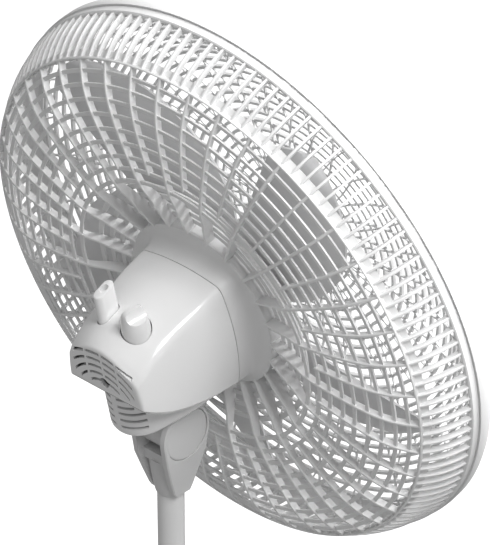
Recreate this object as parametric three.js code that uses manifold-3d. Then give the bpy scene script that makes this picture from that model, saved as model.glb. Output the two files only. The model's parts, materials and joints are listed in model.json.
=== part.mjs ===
// A pedestal fan: weighted round base, telescopic pole, tilting neck and oscillating head.
// Millimetres, +Z up. The origin is on the floor under the pole, and the fan blows towards -Y.
// The head has its own frame: Y runs backwards along the motor shaft and Z is the head's own up.
import * as THREE from "three";
import { mergeVertices } from "three/addons/utils/BufferGeometryUtils.js";
import Module from "manifold-3d";

const wasm = await Module();
wasm.setup();

// ---------------------------------------------------------------- driving dimensions
const GAP = 0.3; // clearance between pieces that touch or run in each other

const PIVOT_HEIGHT = 900; // tilt pin above the floor, pole at its rest height
const HEAD_TILT = THREE.MathUtils.degToRad(11.6); // front of the head tipped up at rest
const AXIS_RISE = 78.7; // motor shaft above the tilt pin
const RIM_AHEAD = 93.4; // plane of the grille joint in front of the tilt pin

const BASE_RADIUS = 200;
const BASE_WALL = 2.5;
const BASE_SIDES = 40;
const BOSS_RADIUS = 22;
const BOSS_TOP = 96;
const FOOT_HEIGHT = 7;
const FOOT_RADIUS = 11;
const FOOT_CIRCLE = 165;
const FOOT_COUNT = 5;
const PLATE_THICK = 2.5;
const WEIGHT_RADIUS = 150;
const WEIGHT_TOP = 18;

const TUBE_RADIUS = 12.5; // outer, lower tube
const TUBE_WALL = 1.2;
const TUBE_TOP = 690;
const POLE_RADIUS = 10; // inner, sliding pole
const POLE_WALL = 1.2;
const POLE_LENGTH = 440;
const COLLAR_RADIUS = 19;
const COLLAR_OVERLAP = 50; // how far the height collar reaches down the tube
const COLLAR_HEAD = 32; // its part above the tube
const KNOB_RADIUS = 16;
const KNOB_LENGTH = 20;
const SCREW_RADIUS = 3;

const CHEEK_RADIUS = 23;
const CHEEK_THICK = 5;
const CHEEK_FACE = 17.5; // outer face of a cheek from the middle
const CHEEK_TIP = 53; // lowest point of a cheek below the tilt pin
const SOCKET_BOTTOM = 56; // lower end of the yoke's pole socket below the tilt pin
const SOCKET_FLOOR = 30;
const DISC_RADIUS = 20.4;
const DISC_THICK = 1.5;
const PIN_RADIUS = 4;
const BARREL_RADIUS = 16.5;
const STEM_RADIUS = 10.5;
const STEM_TOP = 33;
const BUSH_WALL = 1.7;

const GRILLE_RADIUS = 220;
const FLANGE_RADIUS = 67.5;
const FLANGE_BACK = 43.6; // depth of the flange's rear face behind the joint plane
const FLANGE_THICK = 2;
const BORDER_RADIUS = 202.6;
const BORDER_DEPTH = 41.4;
const RIB_COUNT = 23;
const RIB_THICK = 1.8;
const RIB_DEEP = 5;
const RING_DEEP = 4;
const DOUBLING_RADIUS = 120;
const FRONT_DEPTH = 64; // how far the front grille bulges forward of the joint plane
const FRONT_RIM = GRILLE_RADIUS + 1.5; // the front rim closes over the rear grille
const FRONT_RIBS = 12;
const CAP_RADIUS = 40;

const HOUSING_FRONT = 56;
const HOUSING_BACK = 142.6;
const HOUSING_WALL = 2.2;
const LOBE_RADIUS = 22.5;
const LOBE_BACK = 138.3;
const LOBE_BOTTOM = 54;

const STATOR_RADIUS = 37;
const STATOR_BORE = 21.6;
const STATOR_FRONT = 68;
const STATOR_BACK = 90;
const SHAFT_RADIUS = 4;
const SHAFT_FRONT = -22;
const WORM_SHAFT_RADIUS = 2.5;
const WORM_START = 106;
const SHAFT_END = 122;
const BEARING_RADIUS = 9;
const WHEEL_RADIUS = 7.5;
const CRANK_THROW = 3.5;
const CRANK_BACK = 22; // crank axis behind the swivel pin
const LINK_WIDTH = 5;

const BLADE_COUNT = 5;
const STRAIGHT_EDGE = 46; // degrees from the head's up direction to the first blade's radial edge
const BLADE_RADIUS = 194;
const HUB_RADIUS = 36;
const BLADE_THICK = 2;

const SPEED_KNOB_RADIUS = 10.6;
const KNOB_SPREAD = 13.5; // each head knob from the middle plane
const KNOB_DEPTH = 116; // both head knobs behind the joint plane
const OSC_KNOB_LENGTH = 19;
const OSC_KNOB_WIDTH = 7.5;
const OSC_TRAVEL = 7;

// ---------------------------------------------------------------- finishes
function finish(color, roughness, metalness = 0) {
  return { color, roughness, metalness };
}
const GLOSS_WHITE = finish(0xf1f1ef, 0.22);
const SATIN_WHITE = finish(0xdededc, 0.5);
const PALE_GREY = finish(0xc9c9c8, 0.45);
const BLADE_GREY = finish(0xb4b5b6, 0.4);
const DARK_GREY = finish(0x55575a, 0.6);
const STEEL = finish(0xa9abad, 0.35, 0.9);
const COPPER = finish(0xa5603a, 0.4, 0.8);
const IRON = finish(0x4a4a4c, 0.7, 0.6);
const BRONZE = finish(0x9c7a45, 0.4, 0.9);
const RUBBER = finish(0x2b2b2d, 0.9);

// ---------------------------------------------------------------- solids
function solidFrom(geometry) {
  const bare = new THREE.BufferGeometry();
  bare.setAttribute("position", geometry.getAttribute("position").clone());
  if (geometry.index) bare.setIndex(geometry.index.clone());
  const merged = mergeVertices(bare, 1e-4);
  const corners = [];
  const index = merged.index.array;
  for (let i = 0; i < index.length; i += 3) {
    const [a, b, c] = [index[i], index[i + 1], index[i + 2]];
    if (a !== b && b !== c && c !== a) corners.push(a, b, c);
  }
  const vertProperties = merged.getAttribute("position").array;
  const build = (triVerts) =>
    new wasm.Manifold(new wasm.Mesh({ numProp: 3, vertProperties, triVerts }));
  const made = build(new Uint32Array(corners));
  return made.volume() < 0 ? build(new Uint32Array(corners).reverse()) : made;
}

function placed(geometry, { x = 0, y = 0, z = 0, turn = [0, 0, 0] } = {}) {
  geometry.applyMatrix4(new THREE.Matrix4().makeRotationFromEuler(new THREE.Euler(...turn)));
  return geometry.translate(x, y, z);
}

function box(x0, x1, y0, y1, z0, z1) {
  const geometry = new THREE.BoxGeometry(x1 - x0, y1 - y0, z1 - z0);
  return solidFrom(placed(geometry, { x: (x0 + x1) / 2, y: (y0 + y1) / 2, z: (z0 + z1) / 2 }));
}

// A turned piece: a closed profile of [radius, height] points, spun round the Y or the Z axis.
function turned(profile, segments, axis = "Z") {
  const closed = [...profile, profile[0]];
  const points = closed.map(([r, h]) => new THREE.Vector2(Math.max(r, 0), h));
  const onAxis = profile[0][0] === 0;
  const geometry = new THREE.LatheGeometry(onAxis ? points.slice(0, -1) : points, segments);
  return solidFrom(axis === "Z" ? placed(geometry, { turn: [Math.PI / 2, 0, 0] }) : geometry);
}

function rod(radius, from, to, axis, segments = 16, at = {}) {
  const geometry = new THREE.CylinderGeometry(radius, radius, to - from, segments);
  const middle = (from + to) / 2;
  const turns = { X: [0, 0, -Math.PI / 2], Y: [0, 0, 0], Z: [Math.PI / 2, 0, 0] };
  placed(geometry, { turn: turns[axis] });
  const shift = { x: 0, y: 0, z: 0, ...at };
  shift[axis.toLowerCase()] += middle;
  return solidFrom(placed(geometry, shift));
}

function ring(inner, outer, from, to, segments, axis = "Z") {
  return turned([[inner, from], [outer, from], [outer, to], [inner, to]], segments, axis);
}

// A flat outline in the YZ plane, given as [y, z], made thick along X and centred on x.
function plateYZ(outline, thick, x = 0) {
  const shape = new THREE.Shape(outline.map(([y, z]) => new THREE.Vector2(y, z)));
  const geometry = new THREE.ExtrudeGeometry(shape, { depth: thick, bevelEnabled: false });
  const basis = new THREE.Matrix4().makeBasis(
    new THREE.Vector3(0, 1, 0), new THREE.Vector3(0, 0, 1), new THREE.Vector3(1, 0, 0));
  return solidFrom(geometry.applyMatrix4(basis).translate(x - thick / 2, 0, 0));
}

// A skin over a row of outlines that all have the same number of points, with flat ends.
function loft(outlines) {
  const count = outlines[0].length;
  const points = outlines.flat().map((p) => p.toArray());
  const ends = [outlines[0], outlines.at(-1)].map((outline) => {
    const middle = outline.reduce((sum, p) => sum.add(p), new THREE.Vector3());
    points.push(middle.divideScalar(count).toArray());
    return points.length - 1;
  });
  const index = [];
  for (let i = 0; i < count; i++) {
    const next = (i + 1) % count;
    for (let row = 0; row + 1 < outlines.length; row++) {
      const [a, b] = [row * count + i, row * count + next];
      index.push(a, b, b + count, a, b + count, a + count);
    }
    const last = (outlines.length - 1) * count;
    index.push(ends[0], next, i, ends[1], last + i, last + next);
  }
  const geometry = new THREE.BufferGeometry();
  geometry.setAttribute("position", new THREE.Float32BufferAttribute(points.flat(), 3));
  return solidFrom(geometry.setIndex(index));
}

function joined(...solids) {
  return solids.reduce((all, next) => all.add(next));
}

function less(solid, ...cutters) {
  return cutters.reduce((left, cutter) => left.subtract(cutter), solid);
}

function add(parent, name, solid, look) {
  const { vertProperties, triVerts } = solid.getMesh();
  const geometry = new THREE.BufferGeometry();
  geometry.setAttribute("position", new THREE.BufferAttribute(vertProperties, 3));
  geometry.setIndex(new THREE.BufferAttribute(triVerts, 1));
  geometry.computeVertexNormals();
  const mesh = new THREE.Mesh(geometry, new THREE.MeshStandardMaterial(look));
  mesh.name = name;
  parent.add(mesh);
}

// The ends of a stretch on one side of the middle, lower one first.
function span(side, from, to) {
  return side > 0 ? [from, to] : [-to, -from];
}

function spaced(count, offset = 0) {
  return Array.from({ length: count }, (_, i) => ((i + offset) * 2 * Math.PI) / count);
}

// Frames: the mast's origin is the tilt pin; the head tips with HEAD_TILT; the barrel's origin
// is on the motor axis in the plane where the two grilles meet.
const fan = new THREE.Group();
const mast = new THREE.Group();
const head = new THREE.Group();
const barrel = new THREE.Group();
mast.position.z = PIVOT_HEIGHT;
head.rotation.x = -HEAD_TILT;
barrel.position.set(0, -RIM_AHEAD, AXIS_RISE);
fan.add(mast);
mast.add(head);
head.add(barrel);

// ---------------------------------------------------------------- base
function base() {
  const rim = BASE_RADIUS;
  const lip = TUBE_RADIUS + GAP;
  const socketRadius = BOSS_RADIUS - BASE_WALL - GAP;
  const outside = [
    [rim, FOOT_HEIGHT], [rim, FOOT_HEIGHT + 5], [rim - 5, FOOT_HEIGHT + 11], [rim - 16, FOOT_HEIGHT + 16],
    [0.7 * rim, 34], [0.45 * rim, 42], [0.26 * rim, 52], [BOSS_RADIUS + 8, 64], [BOSS_RADIUS, 80],
    [BOSS_RADIUS - 1, BOSS_TOP],
  ];
  const inside = [8, 7, 5, 2].map((i) => [outside[i][0] - BASE_WALL, outside[i][1] - BASE_WALL]);
  inside.push([rim - BASE_WALL, FOOT_HEIGHT + 5], [rim - BASE_WALL, FOOT_HEIGHT]);
  const bossRoof = BOSS_TOP - BASE_WALL;
  const mouth = [[lip, BOSS_TOP], [lip, bossRoof], [BOSS_RADIUS - BASE_WALL, bossRoof]];
  const glandHeight = FOOT_HEIGHT + 14;
  const glandRadius = 5;
  const hole = rod(glandRadius + GAP, rim - 60, rim + 10, "Y", 12, { z: glandHeight });
  add(fan, "base_cover", less(turned([...outside, ...mouth, ...inside], BASE_SIDES), hole), SATIN_WHITE);

  const gland = ring(3.6, glandRadius, rim - 24, rim - 3, 12, "Y");
  add(fan, "cord_gland", gland.translate([0, 0, glandHeight]), DARK_GREY);

  const plateRadius = rim - BASE_WALL - GAP;
  const plateTop = FOOT_HEIGHT + GAP + PLATE_THICK;
  add(fan, "base_plate", rod(plateRadius, FOOT_HEIGHT + GAP, plateTop, "Z", BASE_SIDES), DARK_GREY);

  const boltRadius = 4;
  const weightBottom = plateTop + GAP;
  const weight = [
    [boltRadius + 0.5, 14.4], [12, 14.4], [12, weightBottom], [WEIGHT_RADIUS, weightBottom],
    [WEIGHT_RADIUS, WEIGHT_TOP - 3], [WEIGHT_RADIUS - 6, WEIGHT_TOP], [boltRadius + 0.5, WEIGHT_TOP],
  ];
  add(fan, "base_weight", turned(weight, 24), IRON);

  const floor = WEIGHT_TOP + GAP;
  const socket = [
    [boltRadius + GAP, floor], [40, floor], [40, floor + 3], [socketRadius, floor + 3],
    [socketRadius, BOSS_TOP - BASE_WALL - GAP], [lip, BOSS_TOP - BASE_WALL - GAP], [lip, floor + 3],
    [boltRadius + GAP, floor + 3],
  ];
  add(fan, "pole_socket", turned(socket, 18), STEEL);

  const bolt = joined(rod(9, 10.4, 14, "Z", 6), rod(boltRadius, 13, 36, "Z", 12));
  add(fan, "pole_bolt", bolt, STEEL);
  const nutFrom = floor + 3 + GAP;
  const nutBore = rod(boltRadius + GAP, 15, 60, "Z", 12);
  add(fan, "pole_nut", less(rod(8, nutFrom, nutFrom + 7, "Z", 6), nutBore), STEEL);

  const footTop = FOOT_HEIGHT;
  spaced(FOOT_COUNT, 0.25).forEach((angle, i) => {
    const at = { x: FOOT_CIRCLE * Math.cos(angle), y: FOOT_CIRCLE * Math.sin(angle) };
    add(fan, "foot_" + (i + 1), rod(FOOT_RADIUS, 0, footTop, "Z", 14, at), RUBBER);
  });
  add(fan, "foot_centre", rod(FOOT_RADIUS + 5, 0, footTop, "Z", 16), RUBBER);

  const tubeBore = TUBE_RADIUS - TUBE_WALL;
  add(fan, "lower_tube", ring(tubeBore, TUBE_RADIUS, floor + 3 + GAP, TUBE_TOP, 24), SATIN_WHITE);
}

// ---------------------------------------------------------------- height collar and its clamp
function heightClamp() {
  const bottom = TUBE_TOP - COLLAR_OVERLAP;
  const top = TUBE_TOP + COLLAR_HEAD;
  const shoulder = TUBE_TOP + GAP;
  const clampHeight = TUBE_TOP + COLLAR_HEAD / 2;
  const outside = [
    [COLLAR_RADIUS - 4, bottom], [COLLAR_RADIUS, bottom + 12], [COLLAR_RADIUS, top - 6],
    [COLLAR_RADIUS - 5, top],
  ];
  const bore = [
    [POLE_RADIUS + GAP, top], [POLE_RADIUS + GAP, shoulder], [TUBE_RADIUS + GAP, shoulder],
    [TUBE_RADIUS + GAP, bottom],
  ];
  const bossEnd = COLLAR_RADIUS + 9;
  const at = { z: clampHeight };
  const boss = rod(9, POLE_RADIUS + 2, bossEnd, "Y", 16, at);
  const screwHole = rod(SCREW_RADIUS + GAP, 0, bossEnd + 5, "Y", 12, at);
  const poleBore = rod(POLE_RADIUS + GAP, shoulder, top + 5, "Z", 24);
  const collar = joined(turned([...outside, ...bore], 18), boss);
  add(fan, "height_collar", less(collar, screwHole, poleBore), PALE_GREY);

  const lobes = 5;
  const outline = spaced(lobes * 4).map((angle) => {
    const reach = KNOB_RADIUS * (0.93 + 0.07 * Math.cos(lobes * angle));
    return new THREE.Vector2(reach * Math.cos(angle), reach * Math.sin(angle));
  });
  const shape = new THREE.Shape(outline);
  const grip = new THREE.ExtrudeGeometry(shape, { depth: KNOB_LENGTH, bevelEnabled: false });
  placed(grip, { turn: [-Math.PI / 2, 0, 0], y: bossEnd + GAP, z: clampHeight });
  const screwEnd = bossEnd + KNOB_LENGTH - 5;
  const blind = rod(SCREW_RADIUS + GAP, bossEnd, screwEnd + GAP, "Y", 12, at);
  add(fan, "clamp_knob", less(solidFrom(grip), blind), PALE_GREY);
  add(fan, "clamp_screw", rod(SCREW_RADIUS, POLE_RADIUS + GAP, screwEnd, "Y", 12, at), STEEL);
}

// ---------------------------------------------------------------- pole and yoke
function mastPieces() {
  const poleTop = -SOCKET_FLOOR - GAP;
  const pole = ring(POLE_RADIUS - POLE_WALL, POLE_RADIUS, poleTop - POLE_LENGTH, poleTop, 24);
  add(mast, "inner_pole", pole, SATIN_WHITE);

  // A cheek is a stack of level slices: it narrows and leans in towards its tip.
  const lean = 4.5;
  const shoulder = -20;
  const widths = [[-CHEEK_TIP, 8.5], [-50, 10], [-37, 14.5], [shoulder, 20], [-8, 21.9]];
  const roundTop = [-60, -30, 0, 30, 55, 75].map((deg) => THREE.MathUtils.degToRad(deg)).slice(2);
  const slices = [
    ...widths,
    ...roundTop.map((angle) => [CHEEK_RADIUS * Math.sin(angle), CHEEK_RADIUS * Math.cos(angle)]),
  ];
  const cheekAt = (side) =>
    loft(slices.map(([z, half]) => {
      const drop = Math.max(0, (shoulder - z) / (CHEEK_TIP + shoulder));
      const face = CHEEK_FACE - lean * drop;
      return [[face, -half], [face, half], [face - CHEEK_THICK, half], [face - CHEEK_THICK, -half]].map(
        ([x, y]) => new THREE.Vector3(side * x, y, z));
    }));
  const socket = turned([
    [0, -24], [16, -24], [15, -34], [12.6, -46], [11.6, -SOCKET_BOTTOM], [0, -SOCKET_BOTTOM],
  ], 18);
  const web = box(-14, 14, -12, 15, -25, -17);
  const recess = DISC_THICK + 2 * GAP;
  const sides = [-1, 1];
  const pockets = sides.map((side) => {
    const [from, to] = span(side, CHEEK_FACE - recess, CHEEK_FACE + 5);
    return rod(DISC_RADIUS + GAP, from, to, "X", 20);
  });
  const poleBore = rod(POLE_RADIUS + GAP, -SOCKET_BOTTOM - 5, -SOCKET_FLOOR, "Z", 24);
  const pinHole = rod(PIN_RADIUS + GAP, -30, 30, "X", 16);
  const yoke = less(joined(socket, web, ...sides.map(cheekAt)), ...pockets, poleBore, pinHole);
  add(mast, "yoke", yoke, PALE_GREY);

  sides.forEach((side) => {
    const [from, to] = span(side, CHEEK_FACE - recess + GAP, CHEEK_FACE - GAP);
    const name = side < 0 ? "cheek_cover_right" : "cheek_cover_left";
    add(mast, name, rod(DISC_RADIUS, from, to, "X", 20), PALE_GREY);
  });
  const pinEnd = CHEEK_FACE - recess - GAP;
  add(mast, "tilt_pin", rod(PIN_RADIUS, -pinEnd, pinEnd, "X", 16), STEEL);
}

// ---------------------------------------------------------------- neck, which tips with the head
const ARM_TOP = STEM_TOP - 0.6;
const ARM_THICK = 2.8;
const POST = { x: 17, y: 4 };
function neck() {
  const halfWidth = CHEEK_FACE - CHEEK_THICK - GAP;
  const drum = rod(BARREL_RADIUS, -halfWidth, halfWidth, "X", 24);
  const stem = rod(STEM_RADIUS, 0, STEM_TOP, "Z", 20);
  const arm = joined(
    box(0, POST.x, POST.y - 3, POST.y + 3, ARM_TOP - ARM_THICK, ARM_TOP),
    rod(3, ARM_TOP - ARM_THICK, ARM_TOP, "Z", 12, POST), rod(1.6, ARM_TOP - 1, STEM_TOP + 1, "Z", 8, POST));
  const bushRadius = PIN_RADIUS + GAP + BUSH_WALL;
  const seat = BARREL_RADIUS - 2;
  const bore = rod(bushRadius + GAP, seat, STEM_TOP + 10, "Z", 20);
  const pinHole = rod(PIN_RADIUS + GAP, -30, 30, "X", 16);
  add(head, "neck", less(joined(drum, stem, arm), bore, pinHole), PALE_GREY);
  add(head, "swivel_bush", ring(PIN_RADIUS + GAP, bushRadius, seat + GAP, STEM_TOP, 20), BRONZE);
  add(head, "swivel_pin", rod(PIN_RADIUS, seat + 2 * GAP, AXIS_RISE - STATOR_RADIUS - 3, "Z", 16), STEEL);
}

// ---------------------------------------------------------------- housing shells
// The outline of the housing across the shaft, at a depth behind the joint plane. It runs from the
// crown over the ridge and down the bulged side to the tray under the parting line.
const STATIONS = [
  // depth, crown, ridge x, ridge z, side bulge x, parting x, parting z, tray depth
  [56, 47.3, 38.5, 42.3, 45.2, 40.0, -44.0, 1.5],
  [78, 46.0, 38.2, 38.5, 43.5, 40.6, -38.9, 3.5],
  [100, 43.0, 36.4, 33.0, 41.0, 40.4, -32.2, 5.0],
  [120, 39.0, 35.6, 25.5, 38.6, 39.2, -24.0, 5.0],
  [134, 34.0, 34.6, 17.5, 36.8, 37.8, -14.8, 3.5],
  [140.4, 31.0, 33.4, 12.0, 35.4, 36.6, -9.6, 1.2],
  [142.6, 29.4, 31.8, 10.6, 33.8, 35.2, -8.6, 0.6],
];

function housingOutline([depth, crown, ridgeX, ridgeZ, bulgeX, partX, partZ, tray], inset) {
  const half = [];
  const round = 4;
  for (let i = 0; i <= 4; i++) {
    const x = (i / 4) * (ridgeX - round);
    half.push([x, crown - (crown - ridgeZ) * (x / ridgeX) ** 2]);
  }
  const side = (t) => {
    const line = ridgeX + (partX - ridgeX) * t;
    const middle = (ridgeX + partX) / 2;
    return [line + 4 * (bulgeX - middle) * t * (1 - t), ridgeZ + (partZ - ridgeZ) * t];
  };
  [0.07, 0.25, 0.5, 0.75, 1].forEach((t) => half.push(side(t)));
  half.push([partX - 0.6 * tray, partZ - 0.75 * tray], [partX - 2.2 * tray, partZ - tray]);
  const bottom = partZ - tray;
  const trim = ([x, z]) => {
    const middle = (crown + bottom) / 2;
    const reach = Math.hypot(x, z - middle);
    return [x * (1 - inset / reach) , middle + (z - middle) * (1 - inset / reach)];
  };
  const right = half.map(trim);
  const left = right.slice(1).reverse().map(([x, z]) => [-x, z]);
  return [...right, [0, trim([0, bottom])[1]], ...left].map(([x, z]) => new THREE.Vector3(x, depth, z));
}

// The plan of the lobe under the gear case: two straight sides that close on a round back.
function lobePlan(radius, back, bottom, frontHalf, shrink) {
  const centre = back - radius;
  const r = radius - shrink;
  const reach = Math.hypot(frontHalf, centre - HOUSING_FRONT);
  const leanIn = Math.atan2(frontHalf, centre - HOUSING_FRONT) - Math.asin(radius / reach);
  const arc = [];
  for (let i = 0; i <= 8; i++) {
    const angle = leanIn + (i / 8) * (Math.PI - 2 * leanIn);
    arc.push([r * Math.cos(angle), centre + r * Math.sin(angle)]);
  }
  const front = [[-(frontHalf - shrink), HOUSING_FRONT - 1], [frontHalf - shrink, HOUSING_FRONT - 1]];
  return [...arc, ...front].map(([x, y]) => new THREE.Vector3(x, y, bottom));
}

function lobe(inset) {
  const back = LOBE_BACK - inset;
  const radius = LOBE_RADIUS - inset;
  const bottom = -LOBE_BOTTOM + inset;
  const level = (height, shrink) => lobePlan(radius, back, height, 38.5 - inset, shrink);
  const body = loft([level(-9, 0), level(bottom + 6, 0), level(bottom + 2, 1.8), level(bottom, 6)]);
  // Towards the flange the floor of the lobe slopes up.
  const side = [
    [HOUSING_FRONT - 2, 0], [HOUSING_FRONT - 2, bottom + 8], [HOUSING_FRONT + 16, bottom + 4],
    [HOUSING_FRONT + 36, bottom], [HOUSING_BACK, bottom], [HOUSING_BACK, 0],
  ];
  return body.intersect(plateYZ(side, 120));
}

function housing() {
  const outer = joined(loft(STATIONS.map((s) => housingOutline(s, 0))), lobe(0));
  const hollow = STATIONS.slice(0, -1).map((s) => housingOutline(s, HOUSING_WALL));
  hollow.unshift(housingOutline([HOUSING_FRONT - 2, ...STATIONS[0].slice(1)], HOUSING_WALL));
  const inner = joined(loft(hollow), lobe(HOUSING_WALL));
  const front = box(-80, 80, HOUSING_FRONT - 20, HOUSING_FRONT + GAP, -80, 80);
  const screwRadius = 4.2;
  const post = ring(screwRadius, screwRadius + 2, 130, HOUSING_BACK - 1, 16, "Y");
  const shell = joined(less(outer, inner, front), post);

  const seam = STATIONS.map(([depth, , , , , , partZ]) => [depth, partZ]);
  seam.unshift([HOUSING_FRONT - 10, seam[0][1] - 2]);
  seam.push([HOUSING_BACK + 10, seam.at(-1)[1]]);
  const over = [[HOUSING_BACK + 10, 90], [HOUSING_FRONT - 10, 90]];
  const above = (lift) => plateYZ([...seam.map(([y, z]) => [y, z + lift]), ...over], 160);
  const at = { x: -KNOB_SPREAD, y: KNOB_DEPTH };
  const speedHole = rod(SPEED_KNOB_RADIUS + 0.6, 0, 60, "Z", 20, at);
  const play = 1.2;
  const slot = stadium(OSC_KNOB_WIDTH + play, OSC_KNOB_LENGTH + play, 0, 60)
    .translate([KNOB_SPREAD, KNOB_DEPTH, 0]);
  const screwHole = rod(screwRadius, HOUSING_BACK - 8, HOUSING_BACK + 5, "Y", 16);

  const upper = less(shell.intersect(above(GAP / 2)), speedHole, slot, screwHole, ...rearVents());
  add(barrel, "upper_housing", upper, GLOSS_WHITE);

  const stemHole = rod(STEM_RADIUS + 2, -70, -40, "Z", 20, { y: RIM_AHEAD });
  add(barrel, "lower_housing", less(shell, above(-GAP / 2), post, stemHole, ...lobeVents()), GLOSS_WHITE);
}

function stadium(width, length, from, to) {
  const shape = new THREE.Shape();
  const straight = (length - width) / 2;
  shape.absarc(0, straight, width / 2, 0, Math.PI);
  shape.absarc(0, -straight, width / 2, Math.PI, 2 * Math.PI);
  const options = { depth: to - from, bevelEnabled: false, curveSegments: 6 };
  const geometry = new THREE.ExtrudeGeometry(shape, options);
  return solidFrom(geometry.translate(0, 0, from));
}

// Bowed slots through the rear face.
function rearVents() {
  const centre = -23;
  const cuts = [];
  for (const radius of [50, 43.4]) {
    for (const side of [-1, 1]) {
      const [from, to] = [0.04, 0.56].map((a) => Math.PI / 2 - side * a);
      const shape = new THREE.Shape();
      shape.absarc(0, centre, radius + 1.1, from, to, side > 0);
      shape.absarc(0, centre, radius - 1.1, to, from, side < 0);
      const geometry = new THREE.ExtrudeGeometry(shape, { depth: 20, bevelEnabled: false, curveSegments: 3 });
      cuts.push(solidFrom(placed(geometry, { turn: [Math.PI / 2, 0, 0], y: HOUSING_BACK + 10 })));
    }
  }
  return cuts;
}

// Level slots round the lobe, left and right of a middle bar.
function lobeVents() {
  const cuts = [];
  for (const height of [-31, -37.5, -44]) {
    for (const side of [-1, 1]) {
      const [x0, x1] = span(side, 2.5, 20);
      cuts.push(box(x0, x1, LOBE_BACK - LOBE_RADIUS + 7, LOBE_BACK + 5, height - 1, height + 1));
    }
  }
  return cuts;
}

// ---------------------------------------------------------------- flange between housing and grille
function collarFlange() {
  const circle = (radius, depth, like) =>
    like.map((p) => {
      const angle = Math.atan2(p.z, p.x);
      return new THREE.Vector3(radius * Math.cos(angle), depth, radius * Math.sin(angle));
    });
  const end = housingOutline([HOUSING_FRONT, ...STATIONS[0].slice(1)], 0);
  const endInside = housingOutline([HOUSING_FRONT + 1, ...STATIONS[0].slice(1)], HOUSING_WALL + 0.5);
  const blend = (from, to, share, depth) =>
    from.map((p, i) => new THREE.Vector3().lerpVectors(p, to[i], share).setY(depth));
  const foot = circle(60, FLANGE_BACK - 1, end);
  const neckSkin = loft([
    foot, blend(foot, end, 0.55, FLANGE_BACK + 2.4), blend(foot, end, 0.9, FLANGE_BACK + 6), end,
  ]);
  const mouth = circle(39, FLANGE_BACK - FLANGE_THICK - 1, endInside);
  const neckHollow = loft([mouth, blend(mouth, endInside, 0.5, FLANGE_BACK + 4), endInside]);
  const disc = turned([
    [30, FLANGE_BACK - FLANGE_THICK], [FLANGE_RADIUS, FLANGE_BACK - FLANGE_THICK],
    [FLANGE_RADIUS, FLANGE_BACK], [30, FLANGE_BACK],
  ], 36, "Y");
  const thread = ring(26, 29, 30, FLANGE_BACK - 0.5, 20, "Y");
  const plate = ring(26, 41, FLANGE_BACK - FLANGE_THICK, FLANGE_BACK, 20, "Y");
  add(barrel, "collar_flange", joined(less(joined(neckSkin, disc), neckHollow), plate, thread), SATIN_WHITE);
}

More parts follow.
